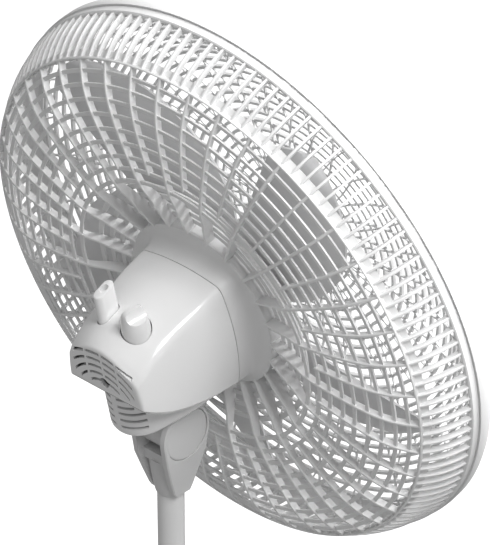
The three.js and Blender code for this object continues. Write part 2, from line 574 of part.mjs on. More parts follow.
// ---------------------------------------------------------------- motor and gear case
function motor() {
  const y = (profile, segments) => turned(profile, segments, "Y");
  const bearingBore = SHAFT_RADIUS + GAP;
  const bearingSeat = BEARING_RADIUS + GAP;
  add(barrel, "front_bracket", y([
    [bearingSeat, 49], [22, 49], [22, 58], [STATOR_RADIUS, 58], [STATOR_RADIUS, 61], [bearingSeat, 61],
  ], 24), STEEL);
  add(barrel, "front_bearing", ring(bearingBore, BEARING_RADIUS, 50, 57, 18, "Y"), STEEL);
  const core = [STATOR_BORE, STATOR_RADIUS];
  const coil = [STATOR_BORE + 2, STATOR_RADIUS - 3];
  add(barrel, "winding_front", ring(...coil, 61.3, STATOR_FRONT - GAP, 20, "Y"), COPPER);
  add(barrel, "stator", ring(...core, STATOR_FRONT, STATOR_BACK, 24, "Y"), IRON);
  add(barrel, "winding_rear", ring(...coil, STATOR_BACK + GAP, 96, 20, "Y"), COPPER);

  const bossBottom = STEM_TOP + 2 * GAP + 0.4 - AXIS_RISE;
  const bossTop = -STATOR_RADIUS - GAP;
  const pinAt = { y: RIM_AHEAD };
  const disc = ring(bearingSeat, STATOR_RADIUS - 1, 97, 100, 18, "Y");
  const tab = box(-9, 6, 97, 100, bossBottom, -20);
  const bossWeb = box(-5, 5, RIM_AHEAD, 98, bossBottom, bossTop);
  const boss = joined(rod(6.5, bossBottom, bossTop, "Z", 16, pinAt), bossWeb);
  const pinHole = rod(PIN_RADIUS + GAP, bossBottom - 5, -STATOR_RADIUS - 3 + GAP, "Z", 16, pinAt);
  const bearingCup = ring(bearingSeat, 12, 99, 104.5, 18, "Y");
  add(barrel, "rear_bracket", less(joined(disc, tab, boss, bearingCup), pinHole), STEEL);
  add(barrel, "rear_bearing", ring(bearingBore, BEARING_RADIUS, 98, 104, 18, "Y"), STEEL);

  add(barrel, "rotor", ring(SHAFT_RADIUS + GAP, STATOR_BORE - 0.6, STATOR_FRONT, STATOR_BACK, 24, "Y"), IRON);
  add(barrel, "shaft", y([
    [0, SHAFT_FRONT], [SHAFT_RADIUS, SHAFT_FRONT], [SHAFT_RADIUS, WORM_START],
    [WORM_SHAFT_RADIUS, WORM_START], [WORM_SHAFT_RADIUS, SHAFT_END], [0, SHAFT_END],
  ], 16), STEEL);

  const wormRadius = SHAFT_RADIUS + 0.2;
  const core2 = WORM_SHAFT_RADIUS + GAP;
  const thread = [];
  const pitch = 3;
  for (let i = 0; i < 3; i++) {
    const start = WORM_START + 2.5 + i * pitch;
    thread.push([wormRadius - 0.7, start], [wormRadius, start + 0.8]);
    thread.push([wormRadius, start + 1.6], [wormRadius - 0.7, start + 2.4]);
  }
  add(barrel, "worm", y([[core2, WORM_START + 2], ...thread, [core2, WORM_START + 12]], 10), STEEL);

  const crankY = RIM_AHEAD + CRANK_BACK;
  const crankX = wormRadius + GAP + WHEEL_RADIUS;
  const at = { x: crankX, y: crankY };
  const caseTop = 12;
  const caseBottom = -14;
  const caseFront = 105.5;
  const caseBack = 128;
  const wall = 2.5;
  const outside = box(-12, crankX + WHEEL_RADIUS + wall + 1, caseFront, caseBack, caseBottom, caseTop);
  const roomLevels = [caseBottom + wall, caseTop - wall];
  const inside = box(-12 + wall, crankX + WHEEL_RADIUS + 1, caseFront - 1, caseBack - wall, ...roomLevels);
  const crankHole = rod(2.5 + GAP, caseBottom - 5, caseBottom + 5, "Z", 12, at);
  const screwHole = rod(1.8 + GAP, caseBack - 5, caseBack + 5, "Y", 10);
  add(barrel, "gear_case", less(outside, inside, crankHole, screwHole), PALE_GREY);
  const wheelBore = rod(2.5 + GAP, -10, 10, "Z", 12, at);
  add(barrel, "worm_wheel", less(rod(WHEEL_RADIUS, -3.5, 3.5, "Z", 24, at), wheelBore), BRONZE);

  const discTop = 44 - AXIS_RISE;
  const discBottom = 40 - AXIS_RISE;
  const linkTop = 38 - AXIS_RISE;
  const linkBottom = 35 - AXIS_RISE;
  const crankPin = { x: crankX, y: crankY - CRANK_THROW };
  const crank = joined(
    rod(2.5, discTop - 1, 5, "Z", 12, at), rod(6, discBottom, discTop, "Z", 16, at),
    rod(1.6, linkBottom, discBottom + 1, "Z", 10, crankPin));
  add(barrel, "crank", crank, STEEL);

  const eye = { x: POST.x, y: POST.y + RIM_AHEAD };
  const length = Math.hypot(eye.x - crankPin.x, eye.y - crankPin.y);
  const heading = Math.atan2(eye.y - crankPin.y, eye.x - crankPin.x) - Math.PI / 2;
  const bar = stadium(LINK_WIDTH, length + LINK_WIDTH, linkBottom, linkTop)
    .rotate([0, 0, THREE.MathUtils.radToDeg(heading)])
    .translate([(eye.x + crankPin.x) / 2, (eye.y + crankPin.y) / 2, 0]);
  const holes = [crankPin, eye].map((p) => rod(1.6 + GAP, linkBottom - 5, linkTop + 5, "Z", 10, p));
  add(barrel, "crank_link", less(bar, ...holes), STEEL);

  const screwShank = rod(1.8, caseBack - 2, 133.5, "Y", 10);
  add(barrel, "rear_screw", joined(rod(3.7, 133, 136, "Y", 12), screwShank), STEEL);
  add(barrel, "capacitor", box(-30, -16, 104, 126, -12, 10), DARK_GREY);
}

// ---------------------------------------------------------------- head knobs
function headKnobs() {
  const at = { x: -KNOB_SPREAD, y: KNOB_DEPTH };
  const skirt = 31;
  const top = 55;
  const body = turned([
    [0, skirt], [SPEED_KNOB_RADIUS, skirt], [SPEED_KNOB_RADIUS, 38],
    [SPEED_KNOB_RADIUS - 1.6, 46], [7, 51], [0, 52],
  ], 20);
  const grip = box(-2.4, 2.4, -8, 8, 44, top);
  const spindleTop = skirt + 6;
  const bore = rod(3 + GAP, skirt - 5, spindleTop + GAP, "Z", 12);
  add(barrel, "speed_knob", less(joined(body, grip), bore).translate([at.x, at.y, 0]), GLOSS_WHITE);
  const switchTop = 25;
  add(barrel, "speed_spindle", rod(3, switchTop + GAP, spindleTop, "Z", 12, at), STEEL);
  add(barrel, "speed_switch", box(-22, -5, KNOB_DEPTH - 10, KNOB_DEPTH + 10, 14, switchTop), DARK_GREY);

  const knobBottom = 30;
  const knobTop = 61;
  const rodTop = knobBottom + 8;
  const rodBottom = 13 + OSC_TRAVEL;
  const post = stadium(OSC_KNOB_WIDTH, OSC_KNOB_LENGTH, knobBottom, knobTop);
  const socket = rod(2.5 + GAP, knobBottom - 5, rodTop + GAP, "Z", 12);
  add(barrel, "oscillation_knob", less(post, socket).translate([KNOB_SPREAD, KNOB_DEPTH, 0]), GLOSS_WHITE);
  const rodAt = { x: KNOB_SPREAD, y: KNOB_DEPTH };
  add(barrel, "oscillation_rod", rod(2.5, rodBottom, rodTop, "Z", 12, rodAt), STEEL);
}

// ---------------------------------------------------------------- rear grille
function rearGrille() {
  const R = GRILLE_RADIUS;
  const hubRadius = FLANGE_RADIUS - 2;
  const hubBack = FLANGE_BACK - FLANGE_THICK - GAP;
  const hubFront = hubBack - 4;
  // The rear edge of a rib, from the flange over the crown of the bowl to the joint plane.
  const back = new THREE.SplineCurve([
    [0.31, 0.202], [0.45, 0.236], [0.6, 0.25], [0.78, 0.241], [0.88, 0.209],
  ].map(([r, d]) => new THREE.Vector2(r * R, d * R))).getPoints(4);
  const wall = new THREE.QuadraticBezierCurve(
    new THREE.Vector2(BORDER_RADIUS, BORDER_DEPTH), new THREE.Vector2(0.985 * R, 0.12 * R),
    new THREE.Vector2(R - 1, 3)).getPoints(2);
  const edge = [...back, ...wall];
  const inward = edge.map((p, i) => {
    const before = edge[Math.max(i - 1, 0)];
    const after = edge[Math.min(i + 1, edge.length - 1)];
    const along = after.clone().sub(before).normalize();
    const deep = RIB_DEEP + 12 * Math.max(0, 1 - (p.x - hubRadius) / 40);
    return new THREE.Vector2(p.x + along.y * deep, p.y - along.x * deep);
  });
  const root = [new THREE.Vector2(hubRadius - 2, hubFront - 10), new THREE.Vector2(hubRadius - 2, hubBack),
    new THREE.Vector2(FLANGE_RADIUS + GAP, hubBack)];
  const outline = [...root, ...edge, ...inward.reverse()];
  const rib = plateYZ(outline.map((p) => [p.x, p.y]), RIB_THICK);
  // The plate lies in the plane of the head's up and back: its radius runs along Z.
  const upright = rib.rotate([90, 0, 0]).mirror([0, 1, 0]);
  const ribs = spaced(RIB_COUNT, 0.5).map((angle) => upright.rotate([0, THREE.MathUtils.radToDeg(angle), 0]));
  const band = (radius, depth, thick, deep = RING_DEEP) =>
    ring(radius - thick, radius, depth - deep, depth, 40, "Y");
  const hoop = ring(R - 6, R, 0.2, 6, 40, "Y");
  const hub = turned([
    [29 + GAP, hubFront], [hubRadius - 4, hubFront], [hubRadius - 4, hubFront - 9], [hubRadius, hubFront - 9],
    [hubRadius, hubBack], [29 + GAP, hubBack],
  ], 30, "Y");
  const rings = [
    band(DOUBLING_RADIUS, 0.249 * R, 2), band(BORDER_RADIUS, BORDER_DEPTH, 2, 3),
  ];
  add(barrel, "rear_grille", joined(hub, hoop, ...rings, ...ribs), SATIN_WHITE);
  const nutFront = hubFront - GAP - 6;
  add(barrel, "grille_nut", ring(29 + GAP, 40, nutFront, hubFront - GAP, 28, "Y"), PALE_GREY);
}

// ---------------------------------------------------------------- front grille
function frontGrille() {
  const R = FRONT_RIM;
  const dome = new THREE.SplineCurve([
    [R - 2, -10], [R - 14, -27], [0.76 * R, -48], [0.45 * R, -60], [CAP_RADIUS, -FRONT_DEPTH],
  ].map(([r, d]) => new THREE.Vector2(r, d))).getPoints(5);
  const inner = dome.map((p) => new THREE.Vector2(p.x - 1.5, p.y + 4)).reverse();
  const rib = plateYZ([...dome, ...inner].map((p) => [p.x, p.y]), 2);
  const upright = rib.rotate([90, 0, 0]).mirror([0, 1, 0]);
  const ribs = spaced(FRONT_RIBS).map((angle) => upright.rotate([0, THREE.MathUtils.radToDeg(angle), 0]));
  const rim = ring(R - 6, R, -13, -GAP, 40, "Y");
  const band = (radius, depth) => ring(radius - 1, radius + 1, depth, depth + 4, 32, "Y");
  const plate = rod(CAP_RADIUS + 3, -FRONT_DEPTH, -FRONT_DEPTH + 3.5, "Y", 32);
  add(barrel, "front_grille", joined(rim, plate, band(168, -47.5), band(105, -59), ...ribs), SATIN_WHITE);
  add(barrel, "front_cap", rod(CAP_RADIUS, -FRONT_DEPTH - GAP - 3, -FRONT_DEPTH - GAP, "Y", 32), GLOSS_WHITE);
}

// ---------------------------------------------------------------- fan blade
function blade() {
  const rows = 6;
  const columns = 4;
  // One edge of a blade is straight and radial, and the other sweeps towards it out to the tip.
  const point = (u, v, offset) => {
    const radius = HUB_RADIUS - 3 + u * (BLADE_RADIUS - HUB_RADIUS + 3);
    const swept = STRAIGHT_EDGE - 64 + 56 * u ** 1.3;
    const angle = THREE.MathUtils.degToRad(swept + ((STRAIGHT_EDGE - swept) * (1 + v)) / 2);
    const tip = radius - 8 * u ** 6 * v * v;
    const pitch = 6 + 3 * u + 3 * Math.sin(Math.PI * u);
    const depth = offset + 16 + v * pitch;
    return new THREE.Vector3(tip * Math.sin(angle), depth, tip * Math.cos(angle));
  };
  const outlines = [];
  for (let i = 0; i <= rows; i++) {
    const u = i / rows;
    const front = [];
    const back = [];
    for (let j = 0; j <= columns; j++) {
      const v = (2 * j) / columns - 1;
      front.push(point(u, v, -BLADE_THICK / 2));
      back.unshift(point(u, v, BLADE_THICK / 2));
    }
    outlines.push([...front, ...back]);
  }
  const one = loft(outlines);
  const blades = spaced(BLADE_COUNT).map((angle) => one.rotate([0, THREE.MathUtils.radToDeg(angle), 0]));
  const bore = SHAFT_RADIUS + GAP;
  const hub = turned([
    [bore, -14], [HUB_RADIUS - 3, -14], [HUB_RADIUS, -11], [HUB_RADIUS, 26], [HUB_RADIUS - 3, 26],
    [HUB_RADIUS - 3, -11], [9, -11], [9, 16], [bore, 16],
  ], 20, "Y");
  const room = rod(HUB_RADIUS - 3, -11, 40, "Y", 20);
  const throughShaft = rod(bore, -40, 60, "Y", 16);
  add(barrel, "blade", less(joined(less(joined(...blades), room), hub), throughShaft), BLADE_GREY);
  const nutBore = rod(bore, -26, -10, "Y", 16);
  const nut = turned([[0, -34], [10, -33], [15, -27], [17, -14 - GAP], [0, -14 - GAP]], 24, "Y");
  add(barrel, "blade_nut", less(nut, nutBore), PALE_GREY);
}

base();
heightClamp();
mastPieces();
neck();
housing();
collarFlange();
motor();
headKnobs();
rearGrille();
frontGrille();
blade();

export default fan;
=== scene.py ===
import json
import math
import bmesh
import bpy
from mathutils import Matrix, Vector


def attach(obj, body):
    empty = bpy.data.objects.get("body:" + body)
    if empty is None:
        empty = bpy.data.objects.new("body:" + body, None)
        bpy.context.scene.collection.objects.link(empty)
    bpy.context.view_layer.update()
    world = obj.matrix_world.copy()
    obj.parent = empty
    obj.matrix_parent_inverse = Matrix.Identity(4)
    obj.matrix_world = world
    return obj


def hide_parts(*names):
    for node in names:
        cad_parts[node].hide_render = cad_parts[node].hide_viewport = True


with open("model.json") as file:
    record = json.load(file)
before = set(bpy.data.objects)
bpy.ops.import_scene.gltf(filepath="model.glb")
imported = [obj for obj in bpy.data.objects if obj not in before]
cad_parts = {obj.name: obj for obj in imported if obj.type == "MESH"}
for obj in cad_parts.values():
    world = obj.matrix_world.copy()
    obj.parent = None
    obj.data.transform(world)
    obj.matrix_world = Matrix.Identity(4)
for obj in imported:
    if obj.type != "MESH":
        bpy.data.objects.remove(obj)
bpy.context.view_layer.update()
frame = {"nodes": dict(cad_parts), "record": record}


# ---------------------------------------------------------------- the room and the camera
# A white studio sweep, one big soft panel above the fan's right shoulder, a weak panel on the
# other side, and an even pale surround. The camera looks down on the back of the head.
tilt = math.radians(11.6)
barrel = (
    Matrix.Translation((0, 0, 0.9))
    @ Matrix.Rotation(-tilt, 4, "X")
    @ Matrix.Translation((0, -0.0934, 0.0787))
    @ Matrix.Scale(0.001, 4)
)
guard_centre = barrel @ Vector((0, 0, 0))
looking_back = Vector((-0.583, 0.616, 0.530)).normalized()
looking_right = Vector((-0.727, -0.687, 0)).normalized()
looking_up = looking_back.cross(looking_right)


def from_guard(right, up, back):
    return guard_centre + looking_right * right + looking_up * up + looking_back * back


def camera_and_lights():
    lens = bpy.data.cameras.new("camera")
    lens.sensor_width = 36
    lens.lens = 244.3
    lens.clip_start = 0.1
    lens.clip_end = 50
    camera = bpy.data.objects.new("camera", lens)
    bpy.context.collection.objects.link(camera)
    place = guard_centre + Vector((-1.5422, 1.6280, 1.4004))
    turn = Matrix((looking_right, looking_up, looking_back)).transposed()
    camera.matrix_world = Matrix.Translation(place) @ turn.to_4x4()
    bpy.context.scene.camera = camera

    def panel(name, place, width, height, power):
        light = bpy.data.lights.new(name, "AREA")
        light.shape = "RECTANGLE"
        light.size = width
        light.size_y = height
        light.energy = power
        holder = bpy.data.objects.new(name, light)
        bpy.context.collection.objects.link(holder)
        away = (place - guard_centre).normalized()
        facing = away.to_track_quat("Z", "Y").to_matrix().to_4x4()
        holder.matrix_world = Matrix.Translation(place) @ facing

    panel("key_panel", from_guard(1.7, 1.5, 0.5), width=1.0, height=1.3, power=84)
    panel("near_panel", from_guard(0.9, 0.9, 2.2), width=1.0, height=1.0, power=44)

    world = bpy.data.worlds.new("surround")
    world.use_nodes = True
    world.node_tree.nodes["Background"].inputs["Color"].default_value = (1, 1, 1, 1)
    world.node_tree.nodes["Background"].inputs["Strength"].default_value = 0.34
    bpy.context.scene.world = world
    bpy.context.scene.view_settings.view_transform = "Standard"


camera_and_lights()


class Wire:
    """A value between two nodes. Arithmetic on it adds Math nodes."""

    def __init__(self, bench, socket):
        self.bench = bench
        self.socket = socket

    def __add__(self, other):
        return self.bench.add("ShaderNodeMath", {0: self, 1: other}, operation="ADD")

    def __sub__(self, other):
        return self.bench.add("ShaderNodeMath", {0: self, 1: other}, operation="SUBTRACT")

    def __rsub__(self, other):
        return self.bench.add("ShaderNodeMath", {0: other, 1: self}, operation="SUBTRACT")

    def __mul__(self, other):
        return self.bench.add("ShaderNodeMath", {0: self, 1: other}, operation="MULTIPLY")

    def __truediv__(self, other):
        return self.bench.add("ShaderNodeMath", {0: self, 1: other}, operation="DIVIDE")

    __radd__ = __add__
    __rmul__ = __mul__


class Bench:
    """A node tree, and the one way nodes are put on it."""

    def __init__(self, tree):
        self.tree = tree

    def add(self, kind, inputs=None, output=0, stops=None, **settings):
        node = self.tree.nodes.new(kind)
        for key, value in settings.items():
            setattr(node, key, value)
        for stop, (place, colour) in zip(node.color_ramp.elements if stops else [], stops or []):
            stop.position = place
            stop.color = colour
        for key, value in (inputs or {}).items():
            if isinstance(value, Wire):
                self.tree.links.new(value.socket, node.inputs[key])
            else:
                node.inputs[key].default_value = value
        return Wire(self, node.outputs[output]) if len(node.outputs) else node


def bare_material(name):
    material = bpy.data.materials.new(name)
    material.use_nodes = True
    material.node_tree.nodes.clear()
    return material, Bench(material.node_tree)


def moulding(name, tone, roughness, coat=0.0, grain=0.00004, mottle=0.03):
    """Moulded plastic: fine spark-eroded grain, slow changes of tone, and dust dulling the gloss."""
    material, bench = bare_material(name)
    place = bench.add("ShaderNodeTexCoord", output="Object")
    cloud = bench.add("ShaderNodeTexNoise", {"Vector": place, "Scale": 14.0, "Detail": 3.0})
    dust = bench.add("ShaderNodeTexNoise", {"Vector": place, "Scale": 60.0, "Detail": 5.0})
    fine = bench.add("ShaderNodeTexNoise", {"Vector": place, "Scale": 1400.0, "Detail": 2.0})
    darker = [channel * (1 - mottle) for channel in tone]
    colour = bench.add(
        "ShaderNodeMix", {"Factor": cloud, 6: (*darker, 1), 7: (*tone, 1)}, output=2, data_type="RGBA")
    bump = bench.add("ShaderNodeBump", {"Height": fine, "Distance": grain, "Strength": 0.5})
    shader = bench.add("ShaderNodeBsdfPrincipled", {
        "Base Color": colour, "Roughness": roughness - 0.05 + dust * 0.1, "Normal": bump,
        "Coat Weight": coat, "Coat Roughness": 0.08, "IOR": 1.49,
    })
    bench.add("ShaderNodeOutputMaterial", {"Surface": shader})
    return material


def add_floor():
    """A wide sweep that glows evenly. It adds nothing to bounced light or to reflections on the fan."""
    bpy.ops.mesh.primitive_plane_add(size=60)
    floor = bpy.context.object
    floor.name = "studio_floor"
    sweep, bench = bare_material("lit_sweep")
    shader = bench.add("ShaderNodeBsdfPrincipled", {
        "Base Color": (0.3, 0.3, 0.3, 1), "Roughness": 0.9,
        "Emission Color": (1, 1, 1, 1), "Emission Strength": 0.92})
    bench.add("ShaderNodeOutputMaterial", {"Surface": shader})
    floor.data.materials.append(sweep)
    floor.visible_diffuse = False
    floor.visible_glossy = False


add_floor()


# ---------------------------------------------------------------- rear guard
# One white plastic moulding: a shallow bowl of thin upright plates that run out from the middle,
# crossed by narrow hoops. It is clipped to the front guard and held on the motor by a ring nut.
satin_white = moulding("satin_white_plastic", (0.80, 0.80, 0.80), 0.42)
guard_radius = 220.0


def new_object(name, points, faces):
    mesh = bpy.data.meshes.new(name)
    mesh.from_pydata([tuple(p) for p in points], [], faces)
    mesh.update()
    obj = bpy.data.objects.new(name, mesh)
    bpy.context.collection.objects.link(obj)
    return obj


def settle(obj):
    """The result of the object's modifiers becomes its plain mesh."""
    done = bpy.data.meshes.new_from_object(obj.evaluated_get(bpy.context.evaluated_depsgraph_get()))
    obj.modifiers.clear()
    obj.data = done
    return obj


def merge(name, pieces):
    """Several objects become one, on one mesh."""
    work = bmesh.new()
    for piece in pieces:
        work.from_mesh(piece.data)
    material = pieces[0].data.materials[0] if pieces[0].data.materials else None
    mesh = bpy.data.meshes.new(name)
    work.to_mesh(mesh)
    work.free()
    for piece in pieces:
        bpy.data.objects.remove(piece)
    if material:
        mesh.materials.append(material)
    for face in mesh.polygons:
        face.material_index = 0
    obj = bpy.data.objects.new(name, mesh)
    bpy.context.collection.objects.link(obj)
    return obj


def smooth(obj, angle=35):
    obj.data.shade_smooth()
    obj.data.set_sharp_from_angle(angle=math.radians(angle))
    return obj


def fit(obj, place, material, slot, body, *nodes):
    """Sets a finished piece into the row's frame, gives it its finish and hangs it on its body."""
    obj.data.transform(place)
    obj.data.materials.clear()
    obj.data.materials.append(material)
    for face in obj.data.polygons:
        face.material_index = 0
    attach(obj, body)
    if nodes:
        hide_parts(*nodes)
    return obj


def geometry_tree(name, sizes):
    tree = bpy.data.node_groups.new(name, "GeometryNodeTree")
    face = tree.interface
    face.new_socket("Geometry", in_out="INPUT", socket_type="NodeSocketGeometry")
    for label, kind in sizes.items():
        face.new_socket(label, in_out="INPUT", socket_type="NodeSocket" + kind)
    face.new_socket("Geometry", in_out="OUTPUT", socket_type="NodeSocketGeometry")
    bench = Bench(tree)
    entry = tree.nodes.new("NodeGroupInput")
    return bench, {socket.name: Wire(bench, socket) for socket in entry.outputs if socket.name}


def grow(obj, bench, **sizes):
    """Runs a geometry tree on the object with these sizes and keeps the result."""
    modifier = obj.modifiers.new("grow", "NODES")
    modifier.node_group = bench.tree
    for item in bench.tree.interface.items_tree:
        if item.in_out == "INPUT" and item.name in sizes:
            modifier[item.identifier] = sizes[item.name]
    return settle(obj)


def tree_around_shaft():
    """Copies what it is given round the shaft line, which runs along Y."""
    bench, given = geometry_tree("around_shaft", {"How_many": "Int", "First": "Float", "Finish": "Material"})
    points = bench.add("GeometryNodePoints", {"Count": given["How_many"]})
    index = bench.add("GeometryNodeInputIndex")
    angle = (index + given["First"]) * (2 * math.pi) / given["How_many"]
    turn = bench.add("FunctionNodeEulerToRotation", {0: bench.add("ShaderNodeCombineXYZ", {"Y": angle})})
    copies = bench.add("GeometryNodeInstanceOnPoints", {
        "Points": points, "Instance": given["Geometry"], "Rotation": turn})
    real = bench.add("GeometryNodeRealizeInstances", {0: copies})
    done = bench.add("GeometryNodeSetMaterial", {0: real, "Material": given["Finish"]})
    bench.add("NodeGroupOutput", {0: done})
    return bench


def tree_hoop():
    """A hoop round the shaft line with a rounded oblong section."""
    bench, given = geometry_tree("hoop", {
        "Radius": "Float", "Depth": "Float", "Thick": "Float", "Wide": "Float",
        "Sides": "Int", "Finish": "Material"})
    circle = bench.add("GeometryNodeCurvePrimitiveCircle", {
        "Resolution": given["Sides"], "Radius": given["Radius"]}, mode="RADIUS")
    section = bench.add("GeometryNodeCurvePrimitiveQuadrilateral", {
        "Width": given["Wide"], "Height": given["Thick"]}, mode="RECTANGLE")
    swept = bench.add("GeometryNodeCurveToMesh", {"Curve": circle, "Profile Curve": section})
    shift = bench.add("ShaderNodeCombineXYZ", {"Y": given["Depth"]})
    stood = bench.add("GeometryNodeTransform", {
        "Geometry": swept, "Translation": shift, "Rotation": (math.pi / 2, 0, 0)})
    done = bench.add("GeometryNodeSetMaterial", {
        0: bench.add("GeometryNodeRealizeInstances", {0: stood}), "Material": given["Finish"]})
    bench.add("NodeGroupOutput", {0: done})
    return bench


around_shaft = tree_around_shaft()
hoop_tree = tree_hoop()


def hoop(radius, depth, thick, wide, finish, sides=184):
    host = new_object("hoop", [], [])
    return grow(
        host, hoop_tree, Radius=radius, Depth=depth, Thick=thick, Wide=wide, Sides=sides, Finish=finish)


def copies_round(obj, count, first, finish):
    return grow(obj, around_shaft, How_many=count, First=first, Finish=finish)


def through(stations, steps):
    """A smooth line through a few stations."""
    ends = [stations[0], *stations, stations[-1]]
    line = []
    for before, a, b, after in zip(ends, ends[1:], ends[2:], ends[3:]):
        for i in range(steps):
            t = i / steps
            line.append(tuple(
                0.5 * (2 * q + (r - p) * t + (2 * p - 5 * q + 4 * r - s) * t * t
                       + (3 * q - p - 3 * r + s) * t ** 3)
                for p, q, r, s in zip(before, a, b, after)))
    return [*line, stations[-1]]


def plate(name, line, deep, thick, edge=0.35):
    """An upright plate along a line of (radius, depth), standing in the plane X = 0."""
    points = []
    for i, (radius, depth) in enumerate(line):
        before, after = line[max(i - 1, 0)], line[min(i + 1, len(line) - 1)]
        along = Vector((after[0] - before[0], after[1] - before[1])).normalized()
        inward = Vector((along[1], -along[0]))
        d = deep(radius)
        for x, into in ((-thick / 2 + edge, 0), (-thick / 2, edge), (-thick / 2, d), (thick / 2, d),
                        (thick / 2, edge), (thick / 2 - edge, 0)):
            points.append((x, depth + inward[1] * into, radius + inward[0] * into))
    faces = []
    for row in range(len(line) - 1):
        for k in range(6):
            a, b = row * 6 + k, row * 6 + (k + 1) % 6
            faces.append((a, a + 6, b + 6, b))
    faces.append(tuple(range(6)))
    last = (len(line) - 1) * 6
    faces.append(tuple(last + k for k in reversed(range(6))))
    obj = new_object(name, points, faces)
    outward(obj)
    return obj


def outward(obj):
    work = bmesh.new()
    work.from_mesh(obj.data)
    bmesh.ops.remove_doubles(work, verts=work.verts, dist=1e-4)
    bmesh.ops.recalc_face_normals(work, faces=work.faces)
    work.to_mesh(obj.data)
    work.free()


bowl_stations = [(66, 44.2), (80, 47.6), (94, 50.4), (104, 53.2), (114, 54.6), (132, 55), (154, 54.6),
                 (172, 53), (185, 49.8), (194, 46), (202.6, 41.4)]
wall_stations = [(202.6, 41.4), (209.5, 32), (215, 21), (218.6, 9), (219.4, 3)]


def bowl_depth(radius):
    line = through(bowl_stations, 6)
    for (r0, d0), (r1, d1) in zip(line, line[1:]):
        if r0 <= radius <= r1:
            return d0 + (d1 - d0) * (radius - r0) / (r1 - r0)
    return line[-1][1] if radius > 200 else line[0][1]


def rear_guard():
    ribs = 23
    side_ribs = 6 * ribs
    bowl = through(bowl_stations, 3)
    wall = through(wall_stations, 3)
    doubling = 0.546 * guard_radius
    pieces = []

    hoop_thick, hoop_wide, hoop_sunk = 1.35, 3.0, 0.7

    def main_depth(radius):
        """The main ribs deepen towards the middle, where they run into the hub."""
        return 5.2 + 10 * max(0.0, 1 - (radius - 66) / 42) ** 1.3

    main = plate("main_rib", bowl, main_depth, 2.0)
    pieces.append(copies_round(main, ribs, 0, satin_white))
    outer = [p for p in bowl if p[0] >= doubling]
    short = plate("short_rib", [(doubling, bowl_depth(doubling)), *outer], lambda radius: 5.0, 1.8)
    pieces.append(copies_round(short, ribs, 0.5, satin_white))
    side = plate("side_rib", wall, lambda radius: 4.6, 1.9)
    pieces.append(copies_round(side, side_ribs, 0, satin_white))

    for share in (0.497, 0.546, 0.592, 0.645, 0.693, 0.746, 0.796, 0.842, 0.883):
        radius = share * guard_radius
        depth = bowl_depth(radius) - hoop_sunk - hoop_wide / 2
        pieces.append(hoop(radius, depth, hoop_thick, hoop_wide, satin_white))
    for share in (0.335, 0.37, 0.41, 0.45):
        radius = share * guard_radius
        pieces.append(hoop(radius, bowl_depth(radius) - 9.5, 1.4, 4.0, satin_white))
    # A ridge marks where the bowl turns into the wall, with a sloping strip sunk below the side ribs.
    ridge = turned("ridge", [
        (201.9, 41.2), (202.4, 41.9), (203.2, 41.5), (203.4, 40.4), (202.2, 37.6), (201.4, 38)], 184)
    pieces.append(ridge)
    ridge.data.materials.append(satin_white)
    strip = turned("border", [
        (200.2, 39.6), (201.2, 39.2), (205.0, 33.6), (204.0, 32.8), (199.6, 38.2)], 184)
    band = turned("rim_band", [
        (219.9, 0.4), (220, 6.2), (219.2, 7.0), (217.4, 7.0), (216.6, 6.0), (216.6, 0.4)], 184)
    hub = turned("hub_ring", [(30, 41), (62, 41), (64, 43.2), (66, 43.4), (67.2, 41.4), (67.2, 28), (62, 28),
                              (62, 37), (30, 37)], 120)
    for piece in (strip, band, hub):
        piece.data.materials.append(satin_white)
        pieces.append(piece)
    guard = merge("rear_guard", pieces)
    smooth(guard, 30)
    fit(guard, barrel, satin_white, "satin_white", "head", "rear_grille")


def turned(name, profile, sides):
    """A closed profile of (radius, depth) spun round the shaft line."""
    points = []
    for i in range(sides):
        angle = 2 * math.pi * i / sides
        points += [(r * math.sin(angle), d, r * math.cos(angle)) for r, d in profile]
    count = len(profile)
    faces = []
    for i in range(sides):
        here, there = i * count, (i + 1) % sides * count
        for k in range(count):
            a, b = k, (k + 1) % count
            faces.append((here + a, there + a, there + b, here + b))
    obj = new_object(name, points, faces)
    outward(obj)
    return obj


rear_guard()


# ---------------------------------------------------------------- front guard
# The front half of the cage, also one moulding: close hoops over slanting spokes that cross each
# other, a smooth broad rim that closes over the rear half, and a plain round cap in the middle.
def dome_depth(radius):
    share = min(1.0, max(0.0, (radius - 40) / (214 - 40)))
    return -63 + 49 * share ** 3.2


